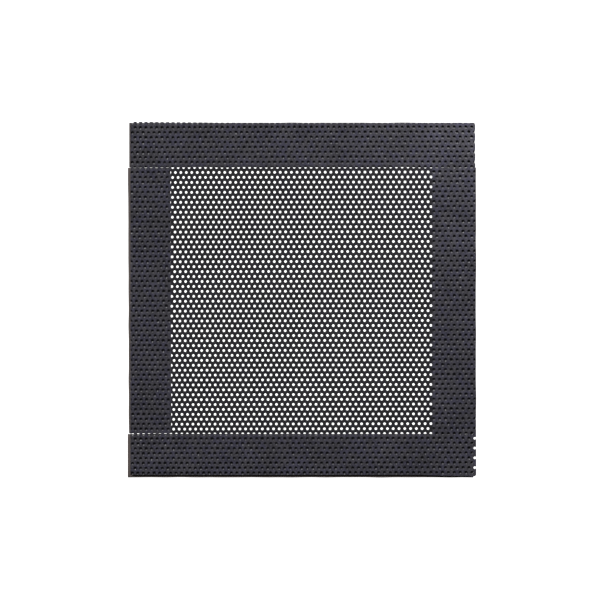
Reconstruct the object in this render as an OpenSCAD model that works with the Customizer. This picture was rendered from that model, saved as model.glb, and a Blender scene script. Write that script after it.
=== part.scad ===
// Magnetic dust filter for a 120 mm case fan: a soft perforated sheet glued on
// four flexible magnet strips. It lies face up, with its magnets on the ground.
// X runs to the right, Y to the top edge and Z out of the face.
// The origin is the middle of the strips' outline, on their back face.

/* [Mesh sheet] */
// Width of the perforated sheet
sheet_w = 119.2; // [100:0.1:150]
// Height of the perforated sheet
sheet_h = 121.6; // [100:0.1:150]
// Thickness of the sheet
sheet_t = 0.4; // [0.2:0.05:1]
// How far right of the strips' middle the sheet was laid
sheet_shift_x = 0.4; // [-1:0.05:1]
// How far above the strips' middle the sheet was laid
sheet_shift_y = 0.45; // [-1:0.05:1]
// How far each corner of the sheet is cut off
sheet_corner_cut = 0.6; // [0.2:0.1:0.7]
// How much further right the sheet's right edge lies at the bottom than at the top
sheet_right_lean = 0.35; // [0:0.05:1]
// How far the sheet's top left corner is pulled up
top_left_pull = 0.3; // [0:0.05:0.5]
// Length of the top edge that is pulled up with its corner
top_left_pull_len = 36; // [10:1:50]
// How far the sheet's bottom right corner is pulled down
bottom_right_pull = 0.65; // [0:0.05:0.8]
// Length of the bottom edge that is pulled down with its corner
bottom_right_pull_len = 20; // [10:1:50]

/* [Holes] */
// Diameter of a hole
hole_d = 0.95; // [0.6:0.05:1.3]
// Step from hole to hole at the middle of the pattern
hole_pitch = 1.947; // [1.7:0.001:3]
// How much longer each step in a row is than the one to its left, as the sheet is stretched
hole_pitch_growth = 0.0026; // [0:0.0001:0.004]
// How much shorter the steps of a row are than those of the row below
hole_pitch_taper = 0.00024; // [0:0.00002:0.0005]
// How much higher each hole lies than the one to its left
hole_rise = 0.0044; // [0:0.0002:0.006]
// Step from row to row at the middle of the pattern
row_pitch = 1.7045; // [1.5:0.0005:3]
// How much longer each step from row to row is than the one below
row_pitch_growth = 0.0005; // [0:0.0001:0.001]
// How much further right each row lies than the row below
row_lean = 0.006; // [0:0.001:0.01]
// How far right of the sheet's middle the pattern's middle hole lies
pattern_shift_x = -0.3; // [-1:0.05:1]
// How far above the sheet's middle the pattern's middle row lies
pattern_shift_y = -0.8; // [-1:0.05:1]
// How much higher every second row lies, as the soft sheet ripples
row_ripple = 0.02; // [0.01:0.01:0.05]

/* [Magnet strips] */
// How much wider than the sheet the strips' outline is
strips_over_w = 1.1; // [0:0.1:3]
// How much higher than the sheet the strips' outline is
strips_over_h = 1; // [0:0.1:3]
// Thickness of a strip
strip_t = 1.5; // [0.8:0.1:3]
// Rounding of a strip's long edges
strip_edge_r = 0.2; // [0.05:0.05:0.35]
// Width of the top strip
top_strip_w = 15.4; // [8:0.1:25]
// Width of the bottom strip
bottom_strip_w = 15; // [8:0.1:25]
// Width of the left strip
left_strip_w = 14.6; // [8:0.1:25]
// Width of the right strip
right_strip_w = 15.1; // [8:0.1:25]
// How much shorter the top and bottom strips are than the strips' outline
long_strip_cut = 0.9; // [0:0.1:3]
// How far right of the middle the top strip was laid
top_strip_shift = 0; // [-1:0.05:1]
// How far right of the middle the bottom strip was laid
bottom_strip_shift = -0.5; // [-1:0.05:1]
// How far inside the strips' outline the left strip was laid
left_strip_inset = 0.2; // [0:0.05:1]
// How far the left strip was laid askew, in degrees
left_strip_turn = 0.2; // [0:0.05:0.3]
// Gap between the top strip and the left strip
top_left_gap = 0.15; // [0.1:0.05:2]
// Gap between the top strip and the right strip
top_right_gap = 0.1; // [0.05:0.05:2]
// Gap between the bottom strip and the left strip
bottom_left_gap = 0.25; // [0.1:0.05:2]
// Gap between the bottom strip and the right strip
bottom_right_gap = 0.05; // [0.05:0.05:2]

/* [Hidden] */
$fn = 32;
sheet_color = [0.24, 0.24, 0.27];
strip_color = [0.23, 0.17, 0.14];
strips_w = sheet_w + strips_over_w;
strips_h = sheet_h + strips_over_h;
long_strip_len = strips_w - long_strip_cut;
top_strip_inner_y = strips_h / 2 - top_strip_w;
bottom_strip_inner_y = bottom_strip_w - strips_h / 2;
// Rows counted from the pattern's middle, up to those whose bands hold the sheet's corner cuts
most_rows = ceil(sheet_h / row_pitch);
last_row = max([for (r = [0 : most_rows]) if (band_edge(r - 1) < sheet_h / 2 - sheet_corner_cut) r]);
first_row = min([for (r = [-most_rows : 0]) if (band_edge(r) > sheet_corner_cut - sheet_h / 2) r]);
// Columns that reach past both sides of the sheet, with some to spare for the stretch
spare_columns = 3;
last_column = ceil((sheet_w / 2 - pattern_shift_x) / hole_pitch);
first_column = -ceil((sheet_w / 2 + pattern_shift_x) / hole_pitch) - spare_columns;

// Where row r lies at the middle of the stretched pattern, from the sheet's middle
function row_y(r) = pattern_shift_y + row_pitch * r + row_pitch_growth * r * r / 2;

// Where the band of row r ends and that of the next row begins, to a hundredth so that both meet
function band_edge(r) = round(row_y(r + 0.5) * 100) / 100;

// Where the hole of column c and row r lies, from the sheet's middle
function hole_place(c, r) =
  [pattern_shift_x + (hole_pitch - hole_pitch_taper * r) * c + hole_pitch_growth * c * c / 2 + row_lean * r,
   row_y(r) + hole_rise * c];

// Every second row is set over by half a column
function row_stagger(r) = r % 2 == 0 ? 0 : 0.5;

// Where the sheet's right edge lies at a height, from the sheet's middle
function right_edge(y) = sheet_w / 2 - sheet_right_lean * y / sheet_h;

// Lower side of row r's band, from left to right: below the first row it is the sheet's edge
function lower_side(r) =
  r == first_row
    ? [[-sheet_w / 2, sheet_corner_cut - sheet_h / 2],
       [sheet_corner_cut - sheet_w / 2, -sheet_h / 2],
       [sheet_w / 2 - bottom_right_pull_len, -sheet_h / 2],
       [right_edge(-sheet_h / 2) - sheet_corner_cut, -sheet_h / 2 - bottom_right_pull],
       [right_edge(-sheet_h / 2), sheet_corner_cut - sheet_h / 2 - bottom_right_pull]]
    : [[-sheet_w / 2, band_edge(r - 1)], [right_edge(band_edge(r - 1)), band_edge(r - 1)]];

// Upper side of row r's band, from right to left: above the last row it is the sheet's edge
function upper_side(r) =
  r == last_row
    ? [[right_edge(sheet_h / 2), sheet_h / 2 - sheet_corner_cut],
       [right_edge(sheet_h / 2) - sheet_corner_cut, sheet_h / 2],
       [top_left_pull_len - sheet_w / 2, sheet_h / 2],
       [sheet_corner_cut - sheet_w / 2, sheet_h / 2 + top_left_pull],
       [-sheet_w / 2, sheet_h / 2 + top_left_pull - sheet_corner_cut]]
    : [[right_edge(band_edge(r)), band_edge(r)], [-sheet_w / 2, band_edge(r)]];

module row_holes(r) {
  for (c = [first_column : last_column])
    translate(hole_place(c + row_stagger(r), r))
      circle(d = hole_d);
}

// The band of sheet that holds row r: the first and last are also bitten by the row beyond them
module row_band(r) {
  difference() {
    polygon(concat(lower_side(r), upper_side(r)));
    row_holes(r);
    if (r == first_row) row_holes(r - 1);
    if (r == last_row) row_holes(r + 1);
  }
}

// A strip's section, flat on the ground and round along its edges
module strip_section(w) {
  translate([-w / 2, strip_edge_r])
    square([w, strip_t - 2 * strip_edge_r]);
  translate([strip_edge_r - w / 2, 0])
    square([w - 2 * strip_edge_r, strip_t]);
  for (x = [strip_edge_r - w / 2, w / 2 - strip_edge_r], y = [strip_edge_r, strip_t - strip_edge_r])
    translate([x, y])
      circle(strip_edge_r);
}

// A strip along X with its middle at the origin
module strip_across(len, w) {
  rotate([90, 0, 90])
    linear_extrude(len, center = true)
      strip_section(w);
}

// A strip along Y from one height to another, turned about its middle
module strip_upright(from_y, to_y, w, turn = 0) {
  translate([0, (from_y + to_y) / 2, 0])
    rotate([90, 0, turn])
      linear_extrude(to_y - from_y, center = true)
        strip_section(w);
}

module mesh_sheet() {
  color(sheet_color)
    translate([sheet_shift_x, sheet_shift_y, strip_t])
      for (r = [first_row : last_row])
        translate([0, 0, row_stagger(r) * 2 * row_ripple])
          linear_extrude(sheet_t)
            row_band(r);
}

module top_magnet_strip() {
  color(strip_color)
    translate([top_strip_shift, strips_h / 2 - top_strip_w / 2, 0])
      strip_across(long_strip_len, top_strip_w);
}

module bottom_magnet_strip() {
  color(strip_color)
    translate([bottom_strip_shift, bottom_strip_w / 2 - strips_h / 2, 0])
      strip_across(long_strip_len, bottom_strip_w);
}

module left_magnet_strip() {
  color(strip_color)
    translate([left_strip_inset + left_strip_w / 2 - strips_w / 2, 0, 0])
      strip_upright(bottom_strip_inner_y + bottom_left_gap,
                    top_strip_inner_y - top_left_gap, left_strip_w, left_strip_turn);
}

module right_magnet_strip() {
  color(strip_color)
    translate([strips_w / 2 - right_strip_w / 2, 0, 0])
      strip_upright(bottom_strip_inner_y + bottom_right_gap,
                    top_strip_inner_y - top_right_gap, right_strip_w);
}

mesh_sheet();
top_magnet_strip();
bottom_magnet_strip();
left_magnet_strip();
right_magnet_strip();
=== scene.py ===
"""Magnetic fan dust filter: a soft punched vinyl sheet on four ferrite rubber strips, lying face up."""
import math

import bpy
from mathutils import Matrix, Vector, noise

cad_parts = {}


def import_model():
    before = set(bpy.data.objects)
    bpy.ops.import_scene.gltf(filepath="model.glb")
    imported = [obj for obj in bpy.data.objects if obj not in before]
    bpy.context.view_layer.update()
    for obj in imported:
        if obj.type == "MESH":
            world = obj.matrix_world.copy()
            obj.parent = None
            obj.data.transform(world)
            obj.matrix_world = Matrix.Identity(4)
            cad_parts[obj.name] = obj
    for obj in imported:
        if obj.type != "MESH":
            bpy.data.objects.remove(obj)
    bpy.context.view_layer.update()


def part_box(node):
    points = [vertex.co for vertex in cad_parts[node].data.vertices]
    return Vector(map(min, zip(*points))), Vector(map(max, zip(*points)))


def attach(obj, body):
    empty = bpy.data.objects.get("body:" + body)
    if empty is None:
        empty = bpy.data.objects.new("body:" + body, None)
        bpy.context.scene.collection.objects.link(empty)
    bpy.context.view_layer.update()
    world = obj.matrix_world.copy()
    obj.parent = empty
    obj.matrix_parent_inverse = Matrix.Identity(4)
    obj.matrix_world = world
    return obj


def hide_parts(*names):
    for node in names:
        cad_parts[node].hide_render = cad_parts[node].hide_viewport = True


MM = 0.001
# A place past every side of the filter
FAR = 1.0

# The punched pattern, as the solid sheet has it
HOLE_D = 0.95 * MM
HOLE_PITCH = 1.947 * MM
HOLE_PITCH_GROWTH = 0.0026 * MM
HOLE_PITCH_TAPER = 0.00024 * MM
HOLE_RISE = 0.0044 * MM
ROW_PITCH = 1.7045 * MM
ROW_PITCH_GROWTH = 0.0005 * MM
ROW_LEAN = 0.006 * MM
PATTERN_SHIFT_X = -0.3 * MM
PATTERN_SHIFT_Y = -0.8 * MM

# How the pattern is made: more of it than the sheet needs, which is then cut out
HOLE_SIDES = 8
SPARE_COLUMNS = 3
SPARE_ROW_PAIRS = 1
WELD_GAP = HOLE_PITCH / 200
CUT_EXACTNESS = 0.002 * MM
CREASE_LEN = 2 * ROW_PITCH

# The sheet's own form
SHEET_T = 0.4 * MM
SHEET_CORNER_CUT = 0.6 * MM
SHEET_RIGHT_LEAN = 0.35 * MM
TOP_LEFT_PULL = 0.3 * MM
TOP_LEFT_PULL_LEN = 36 * MM
BOTTOM_RIGHT_PULL = 0.65 * MM
BOTTOM_RIGHT_PULL_LEN = 20 * MM
SHEET_SAG = 0.25 * MM
SHEET_RIPPLE = 0.04 * MM
RIPPLES_PER_M = 90

# The strips' own form
STRIP_T = 1.5 * MM
STRIP_EDGE_R = 0.2 * MM
STRIP_EDGE_STEPS = 3
STRIP_EDGE_ANGLE = math.radians(40)
STRIP_CUTS_ALONG = 60
STRIP_CUTS_ACROSS = 9
STRIP_UNEVEN = 0.15 * MM
WAVERS_PER_M = 130
STRIP_TURNS = {"left_magnet_strip": math.radians(0.2)}
SMOOTH_ANGLE = math.radians(50)

# The vinyl's finish, with lengths in millimetres and scales per millimetre
# The colour that the painted shade darkens towards
PAINTED_SHADE_BLACK = (0.0, 0.0, 0.0)
VINYL_GREY = ((0.0119, 0.0113, 0.0143), (0.0320, 0.0304, 0.0367))
VINYL_BLUE = ((0.0107, 0.0102, 0.0171), (0.0291, 0.0278, 0.0432))
MOTTLE_SCALE = 0.12
TINT_SCALE = 0.35
TINT_SPAN = (0.4, 0.65)
VINYL_GRAIN_SCALE = 2.4
VINYL_GRAIN_SHARE = 0.7
VINYL_GRAIN_HEIGHT = 0.012
VINYL_SHADE_SPAN = (0.38, 0.62)
VINYL_ROUGH = 0.8
VINYL_GRAIN_ROUGH = 0.1
VINYL_SPECULAR = 0.15
RIM_ROUND = 0.2
RIM_STEEP = 0.36
# Painted shade: how far the sheet's colour is darkened towards each hole's edge
RIM_PAINTED_SHADE = 0.6
RIM_GLOSS = 0.45
RIM_GLOSS_SPREAD = 0.2
# Painted shade: how far the sheet's colour is darkened where it spans the open window
WINDOW_PAINTED_SHADE = 0.72
WINDOW_PAINTED_SHADE_BLUR = 0.3

# The rubber's and the glue's finish, in the same units
RUBBER_BROWN = ((0.030, 0.0235, 0.0215), (0.060, 0.0470, 0.0430))
CLOUD_SCALE = 0.25
RUBBER_GRAIN_SCALE = 6.0
RUBBER_GRAIN_SHARE = 0.6
RUBBER_GRAIN_HEIGHT = 0.03
RUBBER_SHADE_SPAN = (0.3, 0.7)
RUBBER_ROUGH = 0.65
RUBBER_GRAIN_ROUGH = 0.25
RUBBER_SPECULAR = 0.3
GLUE_DARK = ((0.003, 0.0029, 0.0038), (0.022, 0.0210, 0.0263))
GLUE_LUCK_SHARE = 0.5
GLUE_BLUR = 0.1
GLUE_FROM_TOP = 0.1
GLUE_WHOLE_FROM_TOP = 0.02
GLUE_GLOSS = 0.1
GLUE_GLOSS_SPREAD = 0.3
GLUE_BOWL = 0.08

# The stage
TABLE_SIDE = 30
TABLE_GREY = (0.1, 0.1, 0.1, 1)
TABLE_ROUGH = 0.9
TABLE_GLOW = 1.15
WHITE = (1, 1, 1, 1)
ROOM_LIGHT = 0.08
ROOM_SEEN = 1.0
KEY_LIGHT = {"place": (-0.50, 2.25, 1.60), "target": (0, 0, 0), "side": 0.63, "watts": 220.0}
CORNER_LIGHT = {"place": (0.092, 0.105, 0.035), "target": (0.055, 0.030, 0), "side": 0.02, "watts": 0.14}

# The photograph's frame
PHOTO_SIDE_PX = 600
PX_PER_M = 2896.0
MIDDLE_X_PX = 301.92
MIDDLE_Y_PX = 300.0
CAMERA_HEIGHT = 0.75
SENSOR_MM = 36.0
PIXEL_BLUR = 1.4


def deselect_all():
    """Leaves nothing selected, as the loaded nodes start selected."""
    if bpy.context.object and bpy.context.object.mode != "OBJECT":
        bpy.ops.object.mode_set(mode="OBJECT")
    bpy.ops.object.select_all(action="DESELECT")


def apply_modifier(piece, kind, **settings):
    """Adds one modifier to a piece, sets it and applies it."""
    modifier = piece.modifiers.new(kind.lower(), kind)
    for key, value in settings.items():
        setattr(modifier, key, value)
    bpy.ops.object.modifier_apply(modifier=modifier.name)


def repeat(piece, count, step):
    """Repeats a piece a number of times, one step apart."""
    apply_modifier(piece, "ARRAY", count=count, use_relative_offset=False,
                   use_constant_offset=True, constant_offset_displace=step)


def seat(piece, node, material):
    """Gives a finished piece its place in the frame and its finish."""
    piece.data.materials.clear()
    piece.data.materials.append(material)
    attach(piece, "root")
    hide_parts(node)


# Punched sheet

def hole_place(column, row):
    """Where a hole of the stretched pattern lies, from the pattern's middle."""
    pitch = HOLE_PITCH - HOLE_PITCH_TAPER * row
    x = pitch * column + HOLE_PITCH_GROWTH * column * column / 2 + ROW_LEAN * row
    y = ROW_PITCH * row + ROW_PITCH_GROWTH * row * row / 2 + HOLE_RISE * column
    return x, y


def punched_cell():
    """One cell of the sheet: a hole, with the area of a round one, inside the six-sided area around it."""
    even_radius = HOLE_D / 2 * math.sqrt(math.pi / (HOLE_SIDES / 2 * math.sin(math.tau / HOLE_SIDES)))
    bpy.ops.mesh.primitive_circle_add(vertices=6, radius=HOLE_PITCH / 2, location=(0, 0, 0))
    cell = bpy.context.object
    point_rise = HOLE_PITCH ** 2 / (8 * ROW_PITCH)
    for vertex in cell.data.vertices:
        on_axis = abs(vertex.co.x) < HOLE_PITCH / 8
        reach = ROW_PITCH / 2 + (point_rise if on_axis else -point_rise)
        side = 0 if on_axis else math.copysign(HOLE_PITCH / 2, vertex.co.x)
        vertex.co = (side, math.copysign(reach, vertex.co.y), 0)
    bpy.ops.object.mode_set(mode="EDIT")
    bpy.ops.mesh.primitive_circle_add(vertices=HOLE_SIDES, radius=even_radius, location=(0, 0, 0))
    bpy.ops.mesh.select_all(action="SELECT")
    bpy.ops.mesh.bridge_edge_loops()
    bpy.ops.object.mode_set(mode="OBJECT")
    return cell


def sheet_box():
    """The sheet as first cut, before its right edge leans and two of its corners are pulled."""
    low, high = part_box("mesh_sheet")
    low = low + Vector((0, BOTTOM_RIGHT_PULL, 0))
    high = high - Vector((SHEET_RIGHT_LEAN / 2, TOP_LEFT_PULL, 0))
    return low, high


def stretched_pattern():
    """A flat sheet of cells that reaches past the filter, stretched as the punched pattern is."""
    low, high = sheet_box()
    middle = (low + high) / 2
    start = Vector((middle.x + PATTERN_SHIFT_X, middle.y + PATTERN_SHIFT_Y))
    columns = math.ceil((high.x - low.x) / 2 / HOLE_PITCH) + SPARE_COLUMNS
    pairs = math.ceil((high.y - low.y) / 4 / ROW_PITCH) + SPARE_ROW_PAIRS
    deselect_all()
    sheet = punched_cell()
    repeat(sheet, 2, (HOLE_PITCH / 2, ROW_PITCH, 0))
    repeat(sheet, 2 * columns + 1, (HOLE_PITCH, 0, 0))
    repeat(sheet, 2 * pairs + 1, (0, 2 * ROW_PITCH, 0))
    for vertex in sheet.data.vertices:
        x, y = hole_place(vertex.co.x / HOLE_PITCH - columns, vertex.co.y / ROW_PITCH - 2 * pairs)
        vertex.co = (start.x + x, start.y + y, 0)
    return sheet


def select_stretch(sheet, axis, start, end):
    """Selects what lies between two places along one axis, both included."""
    bpy.ops.mesh.select_mode(type="VERT")
    bpy.ops.mesh.select_all(action="DESELECT")
    bpy.ops.object.mode_set(mode="OBJECT")
    for vertex in sheet.data.vertices:
        vertex.select = start - 2 * CUT_EXACTNESS < vertex.co[axis] < end + 2 * CUT_EXACTNESS
    bpy.ops.object.mode_set(mode="EDIT")


def delete_beyond(sheet, point, normal, from_x, to_x):
    """Deletes the faces beyond one side of the sheet, and leaves the corners that others share."""
    bpy.ops.mesh.select_mode(type="FACE")
    bpy.ops.mesh.select_all(action="DESELECT")
    bpy.ops.object.mode_set(mode="OBJECT")
    for face in sheet.data.polygons:
        beyond = (face.center - Vector(point)).dot(Vector(normal)) > 0
        face.select = beyond and from_x < face.center.x < to_x
    bpy.ops.object.mode_set(mode="EDIT")
    bpy.ops.mesh.delete(type="FACE")


def trim(sheet, point, normal, from_x=-FAR, to_x=FAR):
    """Cuts away what lies beyond one side of the sheet, along a stretch of its width."""
    select_stretch(sheet, 0, from_x, to_x)
    bpy.ops.mesh.bisect(plane_co=point, plane_no=normal, threshold=CUT_EXACTNESS)
    delete_beyond(sheet, point, normal, from_x, to_x)


def crease(sheet, bend_x, from_y=-FAR, to_y=FAR):
    """Cuts a line where an edge bends, only near that edge."""
    select_stretch(sheet, 1, from_y, to_y)
    bpy.ops.mesh.bisect(plane_co=(bend_x, 0, 0), plane_no=(1, 0, 0), threshold=CUT_EXACTNESS)


def cut_outline(sheet):
    """Cuts the sheet out as by hand: four sides, two pulled corners and four corners cut off."""
    low, high = sheet_box()
    lean = SHEET_RIGHT_LEAN / 2
    bend_x = low.x + TOP_LEFT_PULL_LEN
    run = TOP_LEFT_PULL_LEN - SHEET_CORNER_CUT
    crease(sheet, bend_x, from_y=high.y - CREASE_LEN)
    trim(sheet, (bend_x, high.y, 0), (TOP_LEFT_PULL, run, 0), to_x=bend_x)
    trim(sheet, (bend_x, high.y, 0), (0, 1, 0), from_x=bend_x)
    bend_x = high.x - BOTTOM_RIGHT_PULL_LEN
    run = BOTTOM_RIGHT_PULL_LEN + lean - SHEET_CORNER_CUT
    crease(sheet, bend_x, to_y=low.y + CREASE_LEN)
    trim(sheet, (bend_x, low.y, 0), (0, -1, 0), to_x=bend_x)
    trim(sheet, (bend_x, low.y, 0), (-BOTTOM_RIGHT_PULL, -run, 0), from_x=bend_x)
    trim(sheet, (low.x, 0, 0), (-1, 0, 0))
    trim(sheet, (high.x, (low.y + high.y) / 2, 0), (1, 2 * lean / (high.y - low.y), 0))
    corners = ((low.x, low.y), (high.x + lean, low.y - BOTTOM_RIGHT_PULL),
               (high.x - lean, high.y), (low.x, high.y + TOP_LEFT_PULL))
    for x, y in corners:
        way = Vector((math.copysign(1, x), math.copysign(1, y), 0))
        trim(sheet, Vector((x, y, 0)) - way * SHEET_CORNER_CUT / 2, way)


def window_box():
    """The open window that the four strips leave."""
    low = Vector((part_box("left_magnet_strip")[1].x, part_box("bottom_magnet_strip")[1].y, 0))
    high = Vector((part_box("right_magnet_strip")[0].x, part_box("top_magnet_strip")[0].y, 0))
    return low, high


def window_share(value, low, high):
    """0 at either side of the open window and 1 at its middle."""
    share = min(max((value - low) / (high - low), 0), 1)
    return math.sin(math.pi * share)


def let_sag(sheet):
    """Lays the sheet's upper face on the strips, sagging a little where no strip carries it."""
    top_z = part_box("mesh_sheet")[0].z + SHEET_T
    low, high = window_box()
    for vertex in sheet.data.vertices:
        slack = window_share(vertex.co.x, low.x, high.x)
        slack *= window_share(vertex.co.y, low.y, high.y)
        wave = noise.noise(vertex.co * RIPPLES_PER_M)
        vertex.co.z = top_z - slack * (SHEET_SAG + SHEET_RIPPLE * wave)


def punched_sheet(material):
    """The soft sheet with all its holes."""
    sheet = stretched_pattern()
    bpy.ops.object.mode_set(mode="EDIT")
    bpy.ops.mesh.select_all(action="SELECT")
    bpy.ops.mesh.remove_doubles(threshold=WELD_GAP)
    cut_outline(sheet)
    bpy.ops.mesh.select_all(action="SELECT")
    bpy.ops.mesh.normals_make_consistent(inside=False)
    bpy.ops.object.mode_set(mode="OBJECT")
    if sheet.data.polygons[0].normal.z < 0:
        sheet.data.flip_normals()
    let_sag(sheet)
    apply_modifier(sheet, "SOLIDIFY", thickness=SHEET_T, offset=-1)
    bpy.ops.object.shade_smooth_by_angle(angle=SMOOTH_ANGLE)
    sheet.name = "punched_sheet"
    seat(sheet, "mesh_sheet", material)


# Magnet strips

def true_size(node):
    """A strip's own size, middle and turn, worked out from its upright box and its small turn."""
    low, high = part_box(node)
    turn = STRIP_TURNS.get(node, 0)
    size = high - low
    x = (size.x * math.cos(turn) - size.y * math.sin(turn)) / math.cos(2 * turn)
    y = (size.y * math.cos(turn) - size.x * math.sin(turn)) / math.cos(2 * turn)
    return Vector((x, y, size.z)), (low + high) / 2, turn


def cut_edges(piece, axis, cuts):
    """Cuts every edge that runs along one axis into equal lengths."""
    bpy.ops.object.mode_set(mode="EDIT")
    bpy.ops.mesh.select_mode(type="EDGE")
    bpy.ops.mesh.select_all(action="DESELECT")
    bpy.ops.object.mode_set(mode="OBJECT")
    for edge in piece.data.edges:
        a, b = (piece.data.vertices[i].co for i in edge.vertices)
        run = a - b
        edge.select = abs(run[axis]) > run.length / 2
    bpy.ops.object.mode_set(mode="EDIT")
    bpy.ops.mesh.subdivide(number_cuts=cuts)
    bpy.ops.object.mode_set(mode="OBJECT")


def rubber_strip(node, material):
    """A strip cut from a roll by hand: its long edges run a little unevenly."""
    size, middle, turn = true_size(node)
    along = 0 if size.x > size.y else 1
    across = 1 - along
    deselect_all()
    bpy.ops.mesh.primitive_cube_add(size=1, location=(0, 0, 0), scale=size)
    strip = bpy.context.object
    bpy.ops.object.transform_apply(location=True, rotation=True, scale=True)
    cut_edges(strip, along, STRIP_CUTS_ALONG)
    cut_edges(strip, across, STRIP_CUTS_ACROSS)
    for vertex in strip.data.vertices:
        push = STRIP_UNEVEN * noise.noise((vertex.co + middle) * WAVERS_PER_M)
        vertex.co[across] += push * vertex.co[across] / (size[across] / 2)
    apply_modifier(strip, "BEVEL", width=STRIP_EDGE_R, segments=STRIP_EDGE_STEPS, limit_method="ANGLE",
                   angle_limit=STRIP_EDGE_ANGLE)
    strip.rotation_euler.z = turn
    strip.location = middle
    bpy.ops.object.transform_apply(location=True, rotation=True, scale=True)
    bpy.ops.object.shade_smooth_by_angle(angle=SMOOTH_ANGLE)
    strip.name = node.replace("magnet", "rubber")
    seat(strip, node, material)


# Steps that the finishes share

def calc(tree, operation, first, second=None, third=None):
    """One step of arithmetic on values or sockets."""
    made = tree.nodes.new("ShaderNodeMath")
    made.operation = operation
    for socket, value in zip(made.inputs, (first, second, third)):
        if hasattr(value, "links"):
            tree.links.new(value, socket)
        elif value is not None:
            socket.default_value = value
    return made.outputs[0]


def spread(tree, value, low, high, to_low=0.0, to_high=1.0):
    """Maps a value from one span to another, held at both ends."""
    made = tree.nodes.new("ShaderNodeMapRange")
    tree.links.new(value, made.inputs["Value"])
    made.inputs["From Min"].default_value = low
    made.inputs["From Max"].default_value = high
    made.inputs["To Min"].default_value = to_low
    made.inputs["To Max"].default_value = to_high
    return made.outputs["Result"]


def speckle(tree, place, scale, detail, roughness=0.5):
    """A noise over a place in millimetres."""
    made = tree.nodes.new("ShaderNodeTexNoise")
    tree.links.new(place, made.inputs["Vector"])
    made.inputs["Scale"].default_value = scale
    made.inputs["Detail"].default_value = detail
    made.inputs["Roughness"].default_value = roughness
    return made.outputs["Fac"]


def blended(tree, first, second, first_share):
    """Two values added up by their shares."""
    return calc(tree, "MULTIPLY_ADD", first, first_share, calc(tree, "MULTIPLY", second, 1 - first_share))


def axes(tree, place):
    """The X, Y and Z of a place."""
    made = tree.nodes.new("ShaderNodeSeparateXYZ")
    tree.links.new(place, made.inputs[0])
    return made.outputs


def mix_colours(tree, share, first, second):
    """A colour between two others, by a share."""
    made = tree.nodes.new("ShaderNodeMix")
    made.data_type = "RGBA"
    tree.links.new(share, made.inputs["Factor"])
    # Sockets 6 and 7 take the two colours, and output 2 gives the mixed one
    for socket, colour in ((made.inputs[6], first), (made.inputs[7], second)):
        if hasattr(colour, "links"):
            tree.links.new(colour, socket)
        else:
            socket.default_value = (*colour, 1)
    return made.outputs[2]


def bump(tree, shader, height):
    """Tilts a shader's surface by a height in millimetres."""
    made = tree.nodes.new("ShaderNodeBump")
    made.inputs["Distance"].default_value = MM
    made.inputs["Strength"].default_value = 1.0
    tree.links.new(height, made.inputs["Height"])
    tree.links.new(made.outputs["Normal"], shader.inputs["Normal"])


def inside_box(tree, place, low, high, blur):
    """1 inside a box of the plan and 0 outside it, with a soft border, all but the box in millimetres."""
    plan = axes(tree, place)
    share = 1.0
    for axis, a, b in (("X", low.x, high.x), ("Y", low.y, high.y)):
        off_middle = calc(tree, "ABSOLUTE", calc(tree, "SUBTRACT", plan[axis], (a + b) / 2 / MM))
        half = (b - a) / 2 / MM
        inside = spread(tree, off_middle, half - blur, half + blur, 1.0, 0.0)
        share = calc(tree, "MULTIPLY", inside, share)
    return share


def new_material(name):
    """A material with only its Principled shader and output."""
    material = bpy.data.materials.new(name)
    material.use_nodes = True
    tree = material.node_tree
    return material, tree, tree.nodes["Principled BSDF"]


# The punched pattern as a shader group, which both finishes read

def new_group(name, outputs):
    """An empty shader group with the given outputs."""
    group = bpy.data.node_groups.new(name, "ShaderNodeTree")
    for output in outputs:
        kind = "NodeSocketVector" if output == "Place" else "NodeSocketFloat"
        group.interface.new_socket(output, in_out="OUTPUT", socket_type=kind)
    return group, group.nodes.new("NodeGroupOutput")


def place_group(tree, group):
    """Places a shader group in a material."""
    made = tree.nodes.new("ShaderNodeGroup")
    made.node_tree = group
    return made.outputs


def place_in_mm(tree):
    """The piece's own coordinates, in millimetres."""
    coordinate = tree.nodes.new("ShaderNodeTexCoord")
    made = tree.nodes.new("ShaderNodeVectorMath")
    made.operation = "SCALE"
    made.inputs["Scale"].default_value = 1 / MM
    tree.links.new(coordinate.outputs["Object"], made.inputs[0])
    return made.outputs[0]


def steps_taken(tree, distance, pitch, growth):
    """How many steps reach a distance, where each step is a little longer than the last."""
    square = calc(tree, "MULTIPLY_ADD", distance, 2 * growth, calc(tree, "MULTIPLY", pitch, pitch))
    return calc(tree, "DIVIDE", calc(tree, "SUBTRACT", calc(tree, "SQRT", square), pitch), growth)


def distance_gone(tree, steps, pitch, growth):
    """How far a number of such steps reaches."""
    return calc(tree, "MULTIPLY", calc(tree, "MULTIPLY_ADD", steps, growth / 2, pitch), steps)


def hole_lucks(tree, column, row):
    """Two chance numbers that each hole has for its own."""
    whole = tree.nodes.new("ShaderNodeCombineXYZ")
    tree.links.new(column, whole.inputs["X"])
    tree.links.new(row, whole.inputs["Y"])
    luck = tree.nodes.new("ShaderNodeTexWhiteNoise")
    tree.links.new(whole.outputs[0], luck.inputs["Vector"])
    hues = tree.nodes.new("ShaderNodeSeparateColor")
    tree.links.new(luck.outputs["Color"], hues.inputs[0])
    return hues.outputs[0], hues.outputs[1]


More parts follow.
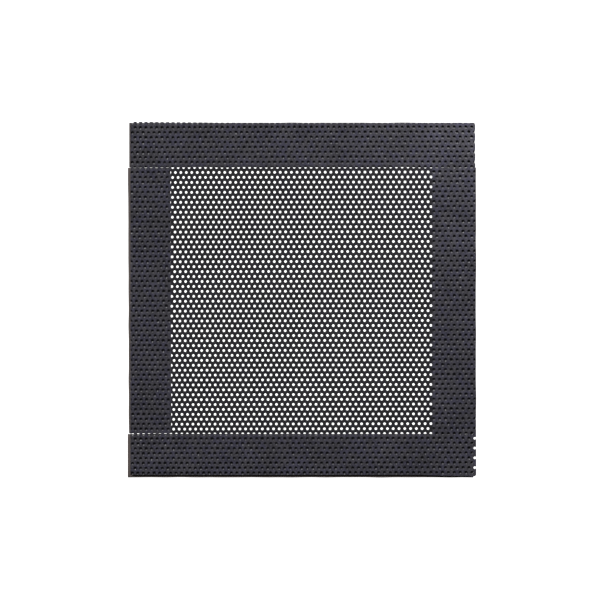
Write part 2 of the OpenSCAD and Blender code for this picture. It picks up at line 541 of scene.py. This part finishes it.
def punched_holes_group():
    """Where a point lies in the punched pattern: its place and its distance from the nearest hole's
    middle in millimetres, and two numbers that differ from hole to hole."""
    low, high = sheet_box()
    middle = (low + high) / 2 / MM
    growth = HOLE_PITCH_GROWTH / MM
    row_pitch, row_growth = ROW_PITCH / MM, ROW_PITCH_GROWTH / MM
    tree, out = new_group("punched_holes", ("Place", "From Hole", "Hole Luck", "Hole Turn"))
    place = place_in_mm(tree)
    plan = axes(tree, place)
    x = calc(tree, "SUBTRACT", plan["X"], middle.x + PATTERN_SHIFT_X / MM)
    y = calc(tree, "SUBTRACT", plan["Y"], middle.y + PATTERN_SHIFT_Y / MM)
    level_y = calc(tree, "MULTIPLY_ADD", x, -HOLE_RISE / HOLE_PITCH, y)
    row = calc(tree, "ROUND", steps_taken(tree, level_y, row_pitch, row_growth))
    stagger = calc(tree, "MULTIPLY", calc(tree, "PINGPONG", row, 1.0), 0.5)
    upright_x = calc(tree, "MULTIPLY_ADD", row, -ROW_LEAN / MM, x)
    pitch = calc(tree, "MULTIPLY_ADD", row, -HOLE_PITCH_TAPER / MM, HOLE_PITCH / MM)
    column = steps_taken(tree, upright_x, pitch, growth)
    column = calc(tree, "ADD", calc(tree, "ROUND", calc(tree, "SUBTRACT", column, stagger)), stagger)
    off_x = calc(tree, "SUBTRACT", upright_x, distance_gone(tree, column, pitch, growth))
    row_y = distance_gone(tree, row, row_pitch, row_growth)
    off_y = calc(tree, "SUBTRACT", y, calc(tree, "MULTIPLY_ADD", column, HOLE_RISE / MM, row_y))
    square = calc(tree, "MULTIPLY_ADD", off_x, off_x, calc(tree, "MULTIPLY", off_y, off_y))
    luck, turn = hole_lucks(tree, column, row)
    tree.links.new(place, out.inputs["Place"])
    tree.links.new(calc(tree, "SQRT", square), out.inputs["From Hole"])
    tree.links.new(luck, out.inputs["Hole Luck"])
    tree.links.new(turn, out.inputs["Hole Turn"])
    return tree


# Finishes

def soft_vinyl(holes):
    """Dark bluish grey vinyl, matt and faintly mottled, with a rounded, smoother rim at each punched hole
    whose colour is darkened there as painted shade. Where no strip carries it, its colour is darkened as
    painted shade too."""
    material, tree, shader = new_material("soft_vinyl")
    pattern = place_group(tree, holes)
    place = pattern["Place"]
    mottle = speckle(tree, place, MOTTLE_SCALE, 3.0, 0.6)
    tint = spread(tree, speckle(tree, place, TINT_SCALE, 2.0), *TINT_SPAN)
    grain = speckle(tree, place, VINYL_GRAIN_SCALE, 2.0)
    shade = spread(tree, blended(tree, grain, mottle, VINYL_GRAIN_SHARE), *VINYL_SHADE_SPAN)
    grey = mix_colours(tree, shade, *VINYL_GREY)
    blue = mix_colours(tree, shade, *VINYL_BLUE)
    face = mix_colours(tree, tint, grey, blue)
    # Painted shade: the sheet's colour is darkened over the open window, with a soft border
    window_shade_share = inside_box(tree, place, *window_box(), WINDOW_PAINTED_SHADE_BLUR)
    face = mix_colours(tree, calc(tree, "MULTIPLY", window_shade_share, WINDOW_PAINTED_SHADE), face, PAINTED_SHADE_BLACK)
    width = calc(tree, "MULTIPLY_ADD", pattern["Hole Turn"], RIM_ROUND, RIM_ROUND / 2)
    rim = calc(tree, "SUBTRACT", calc(tree, "ADD", width, HOLE_D / 2 / MM), pattern["From Hole"])
    rim = calc(tree, "DIVIDE", rim, width)
    rim.node.use_clamp = True
    # Painted shade: the sheet's colour is darkened towards each hole's edge
    rim_painted_shade = calc(tree, "MULTIPLY", rim, RIM_PAINTED_SHADE)
    tree.links.new(mix_colours(tree, rim_painted_shade, face, PAINTED_SHADE_BLACK), shader.inputs["Base Color"])
    gloss = calc(tree, "MULTIPLY_ADD", pattern["Hole Luck"], RIM_GLOSS_SPREAD, RIM_GLOSS)
    rough = calc(tree, "MULTIPLY_ADD", grain, VINYL_GRAIN_ROUGH, VINYL_ROUGH)
    rough = calc(tree, "SUBTRACT", rough, calc(tree, "MULTIPLY", rim, gloss))
    tree.links.new(rough, shader.inputs["Roughness"])
    shader.inputs["Specular IOR Level"].default_value = VINYL_SPECULAR
    fall = calc(tree, "MULTIPLY", calc(tree, "MULTIPLY", rim, rim), width)
    fall = calc(tree, "MULTIPLY", fall, -RIM_STEEP)
    bump(tree, shader, calc(tree, "MULTIPLY_ADD", grain, VINYL_GRAIN_HEIGHT, fall))
    return material


def ferrite_rubber(holes):
    """Brown ferrite rubber, matt and finely grained. Where the sheet covers it there is dark glue, which
    stands up like a small bowl in each hole."""
    material, tree, shader = new_material("ferrite_rubber")
    pattern = place_group(tree, holes)
    place = pattern["Place"]
    cloud = speckle(tree, place, CLOUD_SCALE, 3.0)
    grain = speckle(tree, place, RUBBER_GRAIN_SCALE, 3.0, 0.6)
    shade = spread(tree, blended(tree, grain, cloud, RUBBER_GRAIN_SHARE), *RUBBER_SHADE_SPAN)
    brown = mix_colours(tree, shade, *RUBBER_BROWN)
    glue = mix_colours(tree, blended(tree, pattern["Hole Luck"], shade, GLUE_LUCK_SHARE), *GLUE_DARK)
    top = STRIP_T / MM
    face = spread(tree, axes(tree, place)["Z"], top - GLUE_FROM_TOP, top - GLUE_WHOLE_FROM_TOP)
    glued = calc(tree, "MULTIPLY", face, inside_box(tree, place, *sheet_box(), GLUE_BLUR))
    tree.links.new(mix_colours(tree, glued, brown, glue), shader.inputs["Base Color"])
    gloss = calc(tree, "MULTIPLY_ADD", pattern["Hole Turn"], GLUE_GLOSS_SPREAD, GLUE_GLOSS)
    rough = calc(tree, "MULTIPLY_ADD", grain, RUBBER_GRAIN_ROUGH, RUBBER_ROUGH)
    rough = calc(tree, "SUBTRACT", rough, calc(tree, "MULTIPLY", glued, gloss))
    tree.links.new(rough, shader.inputs["Roughness"])
    shader.inputs["Specular IOR Level"].default_value = RUBBER_SPECULAR
    share = calc(tree, "DIVIDE", pattern["From Hole"], HOLE_D / 2 / MM)
    bowl = calc(tree, "MULTIPLY", calc(tree, "MULTIPLY", share, share), glued)
    deep = calc(tree, "MULTIPLY_ADD", pattern["Hole Luck"], GLUE_BOWL, GLUE_BOWL / 2)
    height = calc(tree, "MULTIPLY", grain, RUBBER_GRAIN_HEIGHT)
    bump(tree, shader, calc(tree, "MULTIPLY_ADD", bowl, deep, height))
    return material


def white_table():
    """A bright white table top that glows, so that it shows clean white through the holes."""
    material, _, shader = new_material("white_table")
    shader.inputs["Base Color"].default_value = TABLE_GREY
    shader.inputs["Roughness"].default_value = TABLE_ROUGH
    shader.inputs["Specular IOR Level"].default_value = 0.0
    shader.inputs["Emission Color"].default_value = WHITE
    shader.inputs["Emission Strength"].default_value = TABLE_GLOW
    return material


# Stage

def table_top():
    """The pale floor that the filter lies on."""
    deselect_all()
    bpy.ops.mesh.primitive_plane_add(size=TABLE_SIDE, location=(0, 0, 0))
    table = bpy.context.object
    table.name = "table_top"
    table.data.materials.append(white_table())


def soft_box(name, place, target, side, watts):
    """A square studio light that faces a spot on the filter."""
    light = bpy.data.lights.new(name, "AREA")
    light.size = side
    light.energy = watts
    lamp = bpy.data.objects.new(name, light)
    bpy.context.scene.collection.objects.link(lamp)
    lamp.location = place
    lamp.visible_camera = False
    lamp.rotation_euler = (Vector(target) - Vector(place)).to_track_quat("-Z", "Y").to_euler()


def studio():
    """Soft light from the top of the photograph, a small light low beyond its upper right, and faint
    light all round."""
    scene = bpy.context.scene
    scene.view_settings.view_transform = "Standard"
    scene.cycles.filter_width = PIXEL_BLUR
    world = bpy.data.worlds.new("studio")
    world.use_nodes = True
    backdrop = world.node_tree.nodes["Background"]
    backdrop.inputs["Color"].default_value = WHITE
    rays = world.node_tree.nodes.new("ShaderNodeLightPath")
    strength = spread(world.node_tree, rays.outputs["Is Camera Ray"], 0.0, 1.0, ROOM_LIGHT, ROOM_SEEN)
    world.node_tree.links.new(strength, backdrop.inputs["Strength"])
    scene.world = world
    soft_box("key_light", **KEY_LIGHT)
    soft_box("corner_light", **CORNER_LIGHT)


def photo_camera():
    """Looks straight down, framed as the photograph is."""
    data = bpy.data.cameras.new("photo_camera")
    camera = bpy.data.objects.new("photo_camera", data)
    bpy.context.scene.collection.objects.link(camera)
    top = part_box("mesh_sheet")[1].z
    data.sensor_width = SENSOR_MM
    data.lens = SENSOR_MM * (CAMERA_HEIGHT - top) * PX_PER_M / PHOTO_SIDE_PX
    half = PHOTO_SIDE_PX / 2
    camera.location = ((half - MIDDLE_X_PX) / PX_PER_M, (MIDDLE_Y_PX - half) / PX_PER_M, CAMERA_HEIGHT)
    bpy.context.scene.camera = camera


def main():
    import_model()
    photo_camera()
    table_top()
    studio()
    holes = punched_holes_group()
    punched_sheet(soft_vinyl(holes))
    rubber = ferrite_rubber(holes)
    for side in ("top", "bottom", "left", "right"):
        rubber_strip(side + "_magnet_strip", rubber)


main()
